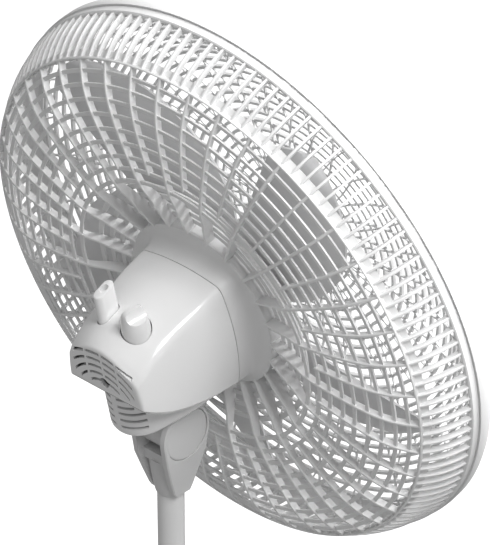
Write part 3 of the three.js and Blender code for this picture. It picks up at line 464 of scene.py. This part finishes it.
def front_guard():
    pieces = []
    inner, outer = 42, 214
    for slant in (-1, 1):
        line = []
        steps = 12
        for i in range(steps + 1):
            radius = inner + (outer - inner) * i / steps
            line.append((radius, slant * 0.34 * (radius - inner) / (outer - inner)))
        points = []
        thick, near, far = 1.1, 1.6, 3.4
        for radius, sweep in line:
            for x, d in ((-thick / 2, near), (-thick / 2, far), (thick / 2, far), (thick / 2, near)):
                angle = sweep + x / radius
                points.append((radius * math.sin(angle), dome_depth(radius) + d, radius * math.cos(angle)))
        faces = []
        for row in range(steps):
            for k in range(4):
                a, b = row * 4 + k, row * 4 + (k + 1) % 4
                faces.append((a, a + 4, b + 4, b))
        faces += [(0, 1, 2, 3), tuple(steps * 4 + k for k in (3, 2, 1, 0))]
        spoke = new_object("slanting_spoke", points, faces)
        outward(spoke)
        pieces.append(copies_round(spoke, 30, 0.0, satin_white))
    first_hoop, last_hoop = 50, 212
    radius = first_hoop
    while radius < last_hoop:
        pieces.append(hoop(radius, dome_depth(radius) + 1.0, 2.9, 2.2, satin_white, 160))
        radius += 8.0 if radius < 150 else 5.2
    rim = turned("front_rim", [
        (221.3, -0.4), (221.5, -3), (221.3, -9), (219.6, -12.6), (216.5, -14.4), (213, -14.6),
        (212.4, -12.6), (216, -11.6), (218.6, -8), (219.2, -3), (219.2, -0.4)], 184)
    plate_ring = turned("cap_seat", [(30, -63.6), (44, -63.6), (44, -60), (30, -60)], 96)
    for piece in (rim, plate_ring):
        piece.data.materials.append(satin_white)
        pieces.append(piece)
    guard = merge("front_guard", pieces)
    smooth(guard, 30)
    fit(guard, barrel, satin_white, "satin_white", "head", "front_grille")


front_guard()


# ---------------------------------------------------------------- blades
# Five broad overlapping blades and their hub, one injection moulding in a cool light grey.
blade_grey = moulding("blade_grey_plastic", (0.66, 0.66, 0.665), 0.3, coat=0.15, mottle=0.02)


def blade_point(u, v, offset):
    """A point on a blade: u runs from the hub to the tip, v from the swept edge to the straight one."""
    root, tip, straight_edge = 33, 194, 46
    radius = root + u * (tip - root)
    swept = straight_edge - 64 + 56 * u ** 1.3
    angle = math.radians(swept + (straight_edge - swept) * (1 + v) / 2)
    reach = radius - 8 * u ** 6 * v * v
    pitch = 6 + 3 * u + 3 * math.sin(math.pi * u)
    depth = offset + 16 + v * pitch + 3 * (1 - v * v) * u
    return (reach * math.sin(angle), depth, reach * math.cos(angle))


def blades():
    rows, columns = 18, 14
    points, faces = [], []
    for side in (-0.9, 0.9):
        for i in range(rows + 1):
            for j in range(columns + 1):
                points.append(blade_point(i / rows, 2 * j / columns - 1, side))
    per_side = (rows + 1) * (columns + 1)
    wide = columns + 1
    for i in range(rows):
        for j in range(columns):
            a = i * wide + j
            faces.append((a, a + 1, a + wide + 1, a + wide))
            b = a + per_side
            faces.append((b, b + wide, b + wide + 1, b + 1))
    rim = [*range(wide)]
    rim += [i * wide + columns for i in range(1, rows + 1)]
    rim += [rows * wide + j for j in range(columns - 1, -1, -1)]
    rim += [i * wide for i in range(rows - 1, 0, -1)]
    for a, b in zip(rim, rim[1:] + rim[:1]):
        faces.append((a, b, b + per_side, a + per_side))
    one = new_object("one_blade", points, faces)
    outward(one)
    all_blades = copies_round(one, 5, 0, blade_grey)
    hub = turned("blade_hub", [
        (4.3, -14), (33, -14), (35.4, -12.6), (36, -10), (36, 25.4), (35.4, 26), (33.6, 26), (33, 25),
        (33, -11), (9, -11), (9, 16), (4.3, 16)], 96)
    hub.data.materials.append(blade_grey)
    piece = merge("fan_blades", [all_blades, hub])
    smooth(piece, 35)
    fit(piece, barrel, blade_grey, "blade_grey", "fan_rotor", "blade")


blades()


# ---------------------------------------------------------------- motor housing
# Two glossy white shells that meet on a line rising towards the back: a rounded-square upper shell
# with bowed louvres in its rear face, and a rounded lower shell with level louvres round its end.
gloss_white = moulding("gloss_white_plastic", (0.86, 0.86, 0.86), 0.2, coat=0.6, grain=0.00001, mottle=0.012)
# Each station gives: depth, crown, ridge x, ridge z, bulge x, seam x, seam z, tray
housing_stations = [
    (56.3, 47.3, 38.5, 42.3, 45.2, 40.0, -44.0, 1.5),
    (78, 46.0, 38.2, 38.5, 43.5, 40.6, -38.9, 3.5),
    (100, 43.0, 36.4, 33.0, 41.0, 40.4, -32.2, 5.0),
    (120, 39.0, 35.6, 25.5, 38.6, 39.2, -24.0, 5.0),
    (134, 34.4, 34.8, 17.5, 37.2, 38.0, -15.0, 4.0),
    (139.6, 32.0, 33.8, 13.2, 36.0, 37.0, -10.4, 2.0),
    (141.8, 30.6, 32.8, 11.6, 34.8, 36.0, -9.2, 1.0),
    (142.6, 29.0, 31.0, 10.2, 33.0, 34.4, -8.6, 0.4),
]


def housing_section(station, inset=0.0):
    depth, crown, ridge_x, ridge_z, bulge_x, seam_x, seam_z, tray = station
    corner = min(5.0, ridge_x * 0.2)
    half = []
    for i in range(11):
        x = i / 10 * (ridge_x - corner)
        half.append(Vector((x, crown - (crown - ridge_z) * (x / ridge_x) ** 2)))
    edge = [Vector((ridge_x - corner, crown - (crown - ridge_z) * ((ridge_x - corner) / ridge_x) ** 2)),
            Vector((ridge_x + 0.3, ridge_z + 0.5))]

    def side(t):
        middle = (ridge_x + seam_x) / 2
        return Vector((ridge_x + (seam_x - ridge_x) * t + 4 * (bulge_x - middle) * t * (1 - t),
                       ridge_z + (seam_z - ridge_z) * t))

    start = side(0.09)
    for i in range(1, 6):
        t = i / 6
        half.append(edge[0] * (1 - t) ** 2 + edge[1] * 2 * t * (1 - t) + start * t * t)
    half += [side(0.09 + 0.91 * i / 14) for i in range(15)]
    half += [
        Vector((seam_x - 0.25 * tray, seam_z - 0.45 * tray)),
        Vector((seam_x - 0.9 * tray, seam_z - 0.85 * tray)),
        Vector((seam_x - 2.2 * tray, seam_z - tray))]
    bottom = seam_z - tray
    middle = Vector((0, (crown + bottom) / 2))
    half = [middle + (p - middle) * (1 - inset / (p - middle).length) for p in half]
    last = Vector((0, half[-1][1]))
    loop = half + [last] + [Vector((-p[0], p[1])) for p in reversed(half[1:])]
    return [(p[0], depth, p[1]) for p in loop]


def skin(name, loops):
    """A closed skin over a row of loops with the same number of points."""
    count = len(loops[0])
    points = [p for loop in loops for p in loop]
    faces = []
    for row in range(len(loops) - 1):
        for k in range(count):
            a, b = row * count + k, row * count + (k + 1) % count
            faces.append((a, b, b + count, a + count))
    faces.append(tuple(range(count)))
    faces.append(tuple((len(loops) - 1) * count + k for k in reversed(range(count))))
    obj = new_object(name, points, faces)
    outward(obj)
    return obj


def combine(obj, others, operation):
    """Joins, cuts or keeps the common part of solids, and keeps the result."""
    for other in others:
        modifier = obj.modifiers.new("combine", "BOOLEAN")
        modifier.operation = operation
        modifier.object = other
        modifier.solver = "EXACT"
        settle(obj)
    for other in others:
        bpy.data.objects.remove(other)
    return obj


def lobe_loops(inset):
    radius = 22.5 - inset
    centre = 138.3 - 22.5
    front_half = 38.5 - inset
    reach = math.hypot(front_half, centre - 56)
    lean = math.atan2(front_half, centre - 56) - math.asin(radius / reach)

    def level(height, shrink):
        loop = []
        for i in range(29):
            angle = lean + i / 28 * (math.pi - 2 * lean)
            wide = radius - shrink
            loop.append((wide * math.cos(angle), centre + wide * math.sin(angle), height))
        for side, order in ((-1, range(7)), (1, range(6, -1, -1))):
            edge = (radius * math.cos(lean), centre + radius * math.sin(lean))
            for i in order:
                t = (i + 1) / 7
                y = edge[1] + (55.3 - edge[1]) * t
                x = edge[0] + (front_half - edge[0]) * t - shrink
                rise = 8.0 * max(0, 1 - (y - 56) / 44) ** 1.5 if height < -30 else 0
                loop.append((side * x, y, height + rise))
        return loop

    bottom = -54 + inset
    turns = [math.pi / 2 * k / 6 for k in range(7)]
    rounding = [(6 * (1 - math.cos(a)), 6 * (1 - math.sin(a))) for a in turns]
    return [level(-9, 0)] + [level(bottom + up, inn) for inn, up in rounding]


def box(name, x0, x1, y0, y1, z0, z1):
    points = [(x, y, z) for x in (x0, x1) for y in (y0, y1) for z in (z0, z1)]
    faces = [(0, 1, 3, 2), (4, 6, 7, 5), (0, 4, 5, 1), (2, 3, 7, 6), (0, 2, 6, 4), (1, 5, 7, 3)]
    obj = new_object(name, points, faces)
    outward(obj)
    return obj


def side_profile(name, outline, wide):
    """A solid with this (depth, height) outline, as wide as the housing."""
    count = len(outline)
    points = [(x, y, z) for x in (-wide, wide) for y, z in outline]
    faces = [(k, (k + 1) % count, (k + 1) % count + count, k + count) for k in range(count)]
    faces += [tuple(range(count)), tuple(range(2 * count - 1, count - 1, -1))]
    obj = new_object(name, points, faces)
    outward(obj)
    return obj


def upright_rod(name, radius, low, high, x, y, sides=40, stretch=0.0):
    loops = []
    for z in (low, high):
        loop = []
        for i in range(sides):
            angle = 2 * math.pi * (i + 0.5) / sides
            shift = stretch / 2 * (1 if math.sin(angle) > 0 else -1)
            loop.append((x + radius * math.cos(angle), y + shift + radius * math.sin(angle), z))
        loops.append(loop)
    return skin(name, loops)


def bowed_louvres():
    """Cutters for the louvres of the rear face: arcs in rows, split by upright bars."""
    cutters = []
    centre = -23
    for radius in (49.0, 42.8, 36.6, 30.4, 24.2, 18.0):
        for x0, x1 in ((-29, -16), (-14, -2), (0, 14), (16, 29)):
            limit = radius - 0.8
            if abs(x0) > limit or abs(x1) > limit:
                if abs((x0 + x1) / 2) > limit - 4:
                    continue
            x0c, x1c = max(x0, -limit), min(x1, limit)
            low_edge, high_edge = [], []
            for i in range(9):
                x = x0c + (x1c - x0c) * i / 8
                z = centre + math.sqrt(radius * radius - x * x)
                if z < -5.2:
                    continue
                low_edge.append((x, z - 1.3))
                high_edge.append((x, z + 1.3))
            if len(low_edge) < 3:
                continue
            outline = low_edge + high_edge[::-1]
            cutters.append(skin("louvre", [[(x, depth, z) for x, z in outline] for depth in (139, 150)]))
    return cutters


def level_louvres():
    """Cutters for the louvres of the lower shell, wrapped round its end, left and right of a bar."""
    cutters = []
    centre = 115.8
    bar_half, lobe_radius, half_height = 2.5, 22.5, 1.2
    for height, wrap in ((-17.6, 27), (-24.6, 40), (-30.6, 59), (-37.0, 59), (-43.6, 59)):
        for side in (-1, 1):
            start = math.degrees(math.asin(bar_half / lobe_radius))
            inner, outer = [], []
            for i in range(13):
                angle = math.radians(start + (wrap - start) * i / 12)
                inner.append((side * 14 * math.sin(angle), centre + 14 * math.cos(angle)))
                outer.append((side * 27 * math.sin(angle), centre + 27 * math.cos(angle)))
            outline = inner + outer[::-1]
            levels = (height - half_height, height + half_height)
            cutters.append(skin("slot", [[(x, y, z) for x, y in outline] for z in levels]))
    return cutters


def housing():
    stations = through(housing_stations, 4)
    outer = skin("housing_skin", [housing_section(s) for s in stations])
    combine(outer, [skin("lobe", lobe_loops(0))], "UNION")
    hollow_stations = [s for s in stations if s[0] < 140.4]
    first = (50.0, *stations[0][1:])
    inner = skin("hollow", [housing_section(s, 2.2) for s in [first, *hollow_stations]])
    combine(inner, [skin("lobe_hollow", lobe_loops(2.2))], "UNION")
    combine(outer, [inner, box("front", -80, 80, 40, 56.3, -80, 80)], "DIFFERENCE")
    seam = [(s[0], s[6]) for s in stations]
    seam = [(45, seam[0][1] - 2.6)] + seam + [(160, seam[-1][1])]
    lower = bpy.data.objects.new("lower_shell", outer.data.copy())
    bpy.context.collection.objects.link(lower)
    above = side_profile("above", [(y, z + 0.15) for y, z in seam] + [(160, 90), (45, 90)], 90)
    over = side_profile("over", [(y, z - 0.25) for y, z in seam] + [(160, 90), (45, 90)], 90)
    speed = upright_rod("speed_hole", 11.3, 10, 70, -13.5, 116)
    push = upright_rod("push_hole", 5.1, 10, 70, 13.5, 116, stretch=9.2)
    screw = turned("screw_hole", [(0.01, 120), (4.2, 120), (4.2, 150), (0.01, 150)], 40)
    combine(outer, [above], "INTERSECT")
    combine(outer, [speed, push, screw, *bowed_louvres()], "DIFFERENCE")
    stem = upright_rod("stem_hole", 12.5, -70, -45, 0, 93.4)
    combine(lower, [over, stem, *level_louvres()], "DIFFERENCE")
    outer.name = "upper_shell"
    for shell, node in ((outer, "upper_housing"), (lower, "lower_housing")):
        smooth(shell, 28)
        fit(shell, barrel, gloss_white, "gloss_white", "head", node)


housing()


# ---------------------------------------------------------------- flange
# The collar that spreads from the housing's mouth into a round flange with a thin rolled edge; the
# rear guard seats against it. One satin moulding, screwed to the motor's front bracket.
def flange():
    end = housing_section(housing_stations[0])
    end_inside = housing_section(housing_stations[0], 2.8)

    def circle(radius, depth):
        loop = []
        for x, _, z in end:
            angle = math.atan2(z, x)
            loop.append((radius * math.cos(angle), depth, radius * math.sin(angle)))
        return loop

    def blend(a, b, share, depth):
        return [(p[0] + (q[0] - p[0]) * share, depth, p[2] + (q[2] - p[2]) * share)
                for p, q in zip(a, b)]

    foot = circle(62, 43.4)
    outside = [foot]
    for i in range(1, 9):
        t = i / 8
        outside.append(blend(foot, end, 1 - (1 - t) ** 2.0, 43.4 + 12.4 * t ** 1.7))
    rim = [circle(67.0, 43.4), circle(67.5, 42.9), circle(67.5, 42.1), circle(67.0, 41.7)]
    inside = [circle(40, 41.7), circle(40, 43), blend(circle(40, 43), end_inside, 0.5, 49),
              [(x, 55.8, z) for x, _, z in end_inside]]
    loops = inside[::-1] + rim[::-1] + outside
    count = len(end)
    points = [p for loop in loops for p in loop]
    faces = []
    total = len(loops)
    for row in range(total):
        following = (row + 1) % total
        for k in range(count):
            a, b = row * count + k, row * count + (k + 1) % count
            c, d = following * count + (k + 1) % count, following * count + k
            faces.append((a, b, c, d))
    collar = new_object("flange", points, faces)
    outward(collar)
    smooth(collar, 40)
    fit(collar, barrel, satin_white, "satin_white", "head", "collar_flange")


flange()


# ---------------------------------------------------------------- controls on the head
# A round speed knob with a pinch grip across its top, and beside it the flat post that is pushed
# down to make the head swing. Both are glossy mouldings on small steel spindles.
def speed_knob():
    profile = [(10.6, 31.0), (10.6, 39.6), (10.2, 43.0), (9.5, 47.4), (8.6, 51.6), (7.8, 54.0),
               (6.4, 55.3), (4.0, 55.9), (0.01, 56.0), (0.01, 31.0)]
    body = turned("speed_knob", profile, 72)
    body.data.transform(Matrix.Rotation(math.radians(90), 4, "X"))

    def scoop(side):
        """A rod across the knob that cuts one finger scoop."""
        beside, above, radius = side * 11.3, 56.6, 9.2
        turns = [2 * math.pi * k / 56 for k in range(56)]
        return skin("scoop", [
            [(x, beside + radius * math.cos(a), above + radius * math.sin(a)) for a in turns]
            for x in (-14, 14)])

    combine(body, [scoop(-1), scoop(1), upright_rod("bore", 3.3, 20, 37.3, 0, 0)], "DIFFERENCE")
    body.data.transform(Matrix.Translation((-13.5, 116, 0)) @ Matrix.Rotation(math.radians(78), 4, "Z"))
    smooth(body, 40)
    fit(body, barrel, gloss_white, "gloss_white", "speed_control", "speed_knob")


def push_post():
    levels = [(30.0, 0.0), (61.6, 0.25), (62.4, 0.5), (62.7, 1.0)]
    loops = []
    for z, shrink in levels:
        loop = []
        radius = 4.5 - shrink
        for i in range(48):
            angle = 2 * math.pi * (i + 0.5) / 48
            shift = 4.6 * (1 if math.sin(angle) > 0 else -1)
            y = shift + radius * math.sin(angle)
            loop.append((radius * math.cos(angle), y, z - (0.22 * (y + 8) if z > 50 else 0)))
        loops.append(loop)
    post = skin("push_post", loops)
    dish = upright_rod("dish", 2.7, 56.8, 70, 0, -0.5, stretch=2.4)
    bore = upright_rod("bore", 2.8, 20, 38.3, 0, 0)
    combine(post, [dish, bore], "DIFFERENCE")
    post.data.transform(Matrix.Translation((13.5, 116, 0)))
    smooth(post, 40)
    fit(post, barrel, gloss_white, "gloss_white", "oscillation_control", "oscillation_knob")


speed_knob()
push_post()


# ---------------------------------------------------------------- yoke
# The fork on top of the pole, in pale grey plastic: two flat cheeks with round covers over the
# tilt pin's ends, a shelf between them, and a tapered socket that the pole is pushed into.
pale_grey = moulding("pale_grey_plastic", (0.66, 0.66, 0.66), 0.38, mottle=0.03)
at_pin = Matrix.Translation((0, 0, 0.9)) @ Matrix.Scale(0.001, 4)


def round_across(x, radius, sides=64):
    """A circle round the X axis."""
    turns = [2 * math.pi * k / sides for k in range(sides)]
    return [(x, radius * math.sin(a), radius * math.cos(a)) for a in turns]


def yoke():
    cheek_stations = [(-53.5, 7.6, 0.0), (-50, 9.6, 0.4), (-37, 14.4, 2.0), (-20, 20, 4.4), (-8, 21.9, 4.5)]
    stations = list(cheek_stations)
    for angle in [math.radians(a) for a in range(-6, 90, 8)]:
        stations.append((23 * math.sin(angle), 23 * math.cos(angle), 4.5))
    cheeks = []
    for side in (-1, 1):
        loops = []
        for z, half, lean in sorted(stations):
            face = 13.0 + lean
            soft = 0.9
            section = [(face - 5, -half), (face - soft, -half), (face, -half + soft), (face, half - soft),
                       (face - soft, half), (face - 5, half)]
            loops.append([(side * x, y, z) for x, y in section])
        cheek = skin("cheek", loops)
        pocket = skin("pocket", [round_across(side * x, 20.7) for x in (15.4, 22)])
        combine(cheek, [pocket], "DIFFERENCE")
        cheeks.append(cheek)
    socket = turned("yoke", [
        (0.01, -24), (16, -24), (15.6, -30), (14.2, -40), (12.4, -50), (11.2, -54.6), (10.6, -56),
        (10.2, -56), (10.2, -30.6), (0.01, -30.6)], 72)
    socket.data.transform(Matrix.Rotation(math.radians(90), 4, "X"))
    combine(socket, [box("shelf", -13.6, 13.6, -12, 15, -25, -17), *cheeks], "UNION")
    drum = skin("drum_room", [round_across(x, 17.1) for x in (-12.4, 12.4)])
    combine(socket, [drum], "DIFFERENCE")
    smooth(socket, 35)
    fit(socket, at_pin, pale_grey, "pale_grey", "mast", "yoke")
    for side, node in ((1, "cheek_cover_left"), (-1, "cheek_cover_right")):
        profile = [(0.01, 15.7), (20.3, 15.7), (20.3, 16.7), (19.8, 17.1), (18.6, 17.2), (0.01, 17.2)]
        cover = turned("pin_cover_left" if side > 0 else "pin_cover_right", profile, 96)
        cover.data.transform(Matrix.Rotation(math.radians(-90 * side), 4, "Z"))
        smooth(cover, 35)
        fit(cover, at_pin, pale_grey, "pale_grey", "mast", node)


yoke()


# ---------------------------------------------------------------- neck
# The block that tips between the cheeks and carries the swivel pin up into the head.
def neck():
    drum_steps = ((-12.1, 15.9), (-11.5, 16.5), (11.5, 16.5), (12.1, 15.9))
    drum = skin("neck_block", [round_across(x, radius) for x, radius in drum_steps])
    stem = upright_rod("stem", 10.5, 0, 33, 0, 0, 48)
    arm = box("arm", 0, 18.5, 1, 7, 29.6, 32.4)
    post = upright_rod("arm_post", 1.6, 31.5, 34, 17, 4, 20)
    combine(drum, [stem, arm, post], "UNION")
    bore = upright_rod("bore", 6.3, 14.5, 45, 0, 0, 40)
    pin = skin("pin_bore", [round_across(x, 4.3, 32) for x in (-20, 20)])
    combine(drum, [bore, pin], "DIFFERENCE")
    smooth(drum, 35)
    tipped = Matrix.Translation((0, 0, 0.9)) @ Matrix.Rotation(-tilt, 4, "X") @ Matrix.Scale(0.001, 4)
    fit(drum, tipped, pale_grey, "pale_grey", "neck", "neck")


neck()


# ---------------------------------------------------------------- pole, height collar and clamp
# A white coated steel pole slides in a wider tube; a plastic collar on the tube carries the hand
# knob whose screw bears on the pole.
on_floor = Matrix.Scale(0.001, 4)


def coated(name, tone, roughness):
    """Stove-enamelled steel: faint orange peel and a few dull rubs."""
    material, bench = bare_material(name)
    place = bench.add("ShaderNodeTexCoord", output="Object")
    peel = bench.add("ShaderNodeTexNoise", {"Vector": place, "Scale": 420.0, "Detail": 2.0})
    rub = bench.add("ShaderNodeTexNoise", {"Vector": place, "Scale": 22.0, "Detail": 6.0})
    colour = bench.add("ShaderNodeMix", {
        "Factor": rub, 6: (tone * 0.96, tone * 0.96, tone * 0.955, 1), 7: (tone, tone, tone, 1)},
        output=2, data_type="RGBA")
    bump = bench.add("ShaderNodeBump", {"Height": peel, "Distance": 0.00006, "Strength": 0.35})
    shader = bench.add("ShaderNodeBsdfPrincipled", {
        "Base Color": colour, "Roughness": rub * 0.16 + roughness, "Normal": bump, "Coat Weight": 0.2})
    bench.add("ShaderNodeOutputMaterial", {"Surface": shader})
    return material


enamel = coated("white_enamel", 0.78, 0.26)


def upright(name, profile, sides=72):
    obj = turned(name, [(r, -z) for r, z in profile], sides)
    obj.data.transform(Matrix.Rotation(math.radians(-90), 4, "X"))
    outward(obj)
    return obj


def pole():
    inner = upright("sliding_pole", [(10, 429.7), (10, 869.3), (9.6, 869.7), (8.8, 869.7), (8.8, 429.7)])
    smooth(inner)
    fit(inner, on_floor, enamel, "white_enamel", "mast", "inner_pole")
    tube = upright("lower_tube_skin", [(12.5, 21.9), (12.5, 689.6), (12.1, 690), (11.3, 690), (11.3, 21.9)])
    smooth(tube)
    fit(tube, on_floor, enamel, "white_enamel", "stand", "lower_tube")

    collar = upright("height_collar_body", [
        (15, 640), (16.6, 643), (18.4, 650), (19, 656), (19, 714), (18.4, 718), (16.6, 721), (14, 722),
        (10.3, 722), (10.3, 690.3), (12.8, 690.3), (12.8, 640)])
    clamp_height = 706

    def along_y(radius, low, high, sides=40):
        """A rod along Y at the clamp screw's height."""
        turns = [2 * math.pi * k / sides for k in range(sides)]
        return skin("rod", [
            [(radius * math.cos(a), y, clamp_height + radius * math.sin(a)) for a in turns]
            for y in (low, high)])

    combine(collar, [along_y(9, 14, 28)], "UNION")
    screw_room = along_y(3.3, 5, 35)
    pole_room = upright("pole_room", [(10.3, 680), (10.3, 730), (0.01, 730), (0.01, 680)])
    combine(collar, [screw_room, pole_room], "DIFFERENCE")
    smooth(collar)
    fit(collar, on_floor, pale_grey, "pale_grey", "stand", "height_collar")

    loops = []
    for y, shrink in ((28.3, 1.2), (29.3, 0.3), (31, 0), (45, 0), (47.3, 0.8), (48.3, 2.6)):
        loop = []
        for k in range(90):
            angle = 2 * math.pi * k / 90
            reach = 16 * (0.93 + 0.07 * math.cos(5 * angle)) - shrink
            loop.append((reach * math.cos(angle), y, clamp_height + reach * math.sin(angle)))
        loops.append(loop)
    knob = skin("clamp_knob_body", loops)
    combine(knob, [along_y(3.3, 20, 43.3)], "DIFFERENCE")
    smooth(knob)
    fit(knob, on_floor, pale_grey, "pale_grey", "clamp", "clamp_knob")


pole()


# ---------------------------------------------------------------- base
# A broad round cover in satin white plastic over a cast weight, flared up into a boss round the
# foot of the tube. It stands on rubber feet.
def base():
    cover = upright("base_cover_skin", [
        (199.6, 7), (200, 8), (200, 12), (198.4, 15.4), (195, 18), (184, 23), (164, 28.6), (140, 34),
        (112, 38.2), (90, 42), (68, 46.4), (52, 52), (39, 58.6), (30, 64), (25, 71), (22.4, 80), (21.6, 90),
        (21, 95.4), (20.4, 96), (12.8, 96), (12.8, 93.5), (19.2, 93.5), (19.5, 77.5), (27.5, 61.5),
        (87.5, 39.5), (192.5, 15.5), (197.5, 12), (197.5, 7)], 128)
    smooth(cover, 40)
    fit(cover, on_floor, satin_white, "satin_white", "stand", "base_cover")


base()


# ---------------------------------------------------------------- small pieces at the front
# The ring nut that holds the rear guard, the blade nut with its moulded grip, and the blank cap.
def front_pieces():
    nut = turned("guard_nut", [(29.3, 30.6), (38, 30.6), (40, 32.4), (40, 35.6), (38.6, 37.0), (29.3, 37.0)], 96)
    smooth(nut)
    fit(nut, barrel, pale_grey, "pale_grey", "head", "grille_nut")
    spinner = turned("blade_nut_body", [
        (0.01, -34), (6, -33.7), (10, -32.4), (13, -30), (15.2, -26.6), (16.6, -20), (17, -14.3), (4.3, -14.3),
        (4.3, -26), (0.01, -26)], 72)
    smooth(spinner)
    fit(spinner, barrel, pale_grey, "pale_grey", "fan_rotor", "blade_nut")
    cap = turned("blank_cap", [
        (0.01, -67.3), (30, -67.2), (37, -66.8), (39.4, -66), (40, -65), (40, -64.3), (0.01, -64.3)], 96)
    smooth(cap)
    fit(cap, barrel, gloss_white, "gloss_white", "head", "front_cap")


front_pieces()


# ---------------------------------------------------------------- metal and inner pieces
# What the head and the base hold inside, in turned steel, sintered bronze, laminated iron, copper
# wire, dark mouldings and rubber.
def metal(name, tone, roughness, fleck=0.1, metallic=1.0):
    material, bench = bare_material(name)
    place = bench.add("ShaderNodeTexCoord", output="Object")
    turning = bench.add("ShaderNodeTexNoise", {"Vector": place, "Scale": 300.0, "Detail": 4.0})
    colour = bench.add("ShaderNodeMix", {
        "Factor": turning, 6: (*[c * (1 - fleck) for c in tone], 1), 7: (*tone, 1)}, output=2, data_type="RGBA")
    bump = bench.add("ShaderNodeBump", {"Height": turning, "Distance": 0.00005, "Strength": 0.4})
    shader = bench.add("ShaderNodeBsdfPrincipled", {
        "Base Color": colour, "Roughness": turning * 0.2 + roughness, "Metallic": metallic, "Normal": bump})
    bench.add("ShaderNodeOutputMaterial", {"Surface": shader})
    return material


inner_finishes = {
    "steel": metal("turned_steel", (0.62, 0.62, 0.63), 0.24),
    "copper": metal("winding_copper", (0.62, 0.3, 0.15), 0.3, 0.3),
    "iron": metal("rough_iron", (0.12, 0.12, 0.125), 0.5, 0.4, 0.6),
    "bronze": metal("sintered_bronze", (0.5, 0.36, 0.18), 0.35, 0.2),
    "dark_plastic": moulding("dark_plastic", (0.035, 0.035, 0.038), 0.5),
    "rubber": moulding("foot_rubber", (0.02, 0.02, 0.02), 0.75, grain=0.0001),
    "pale_grey": pale_grey,
    "satin_white": satin_white,
    "gloss_white": gloss_white,
    "blade_grey": blade_grey,
    "white_enamel": enamel,
}


def dress_inner_pieces():
    slots = {part["node"]: part["material_slot"] for part in frame["record"]["subparts"]}
    for name, node in frame["nodes"].items():
        if node.hide_render:
            continue
        node.data.materials.clear()
        node.data.materials.append(inner_finishes[slots[name]])


dress_inner_pieces()
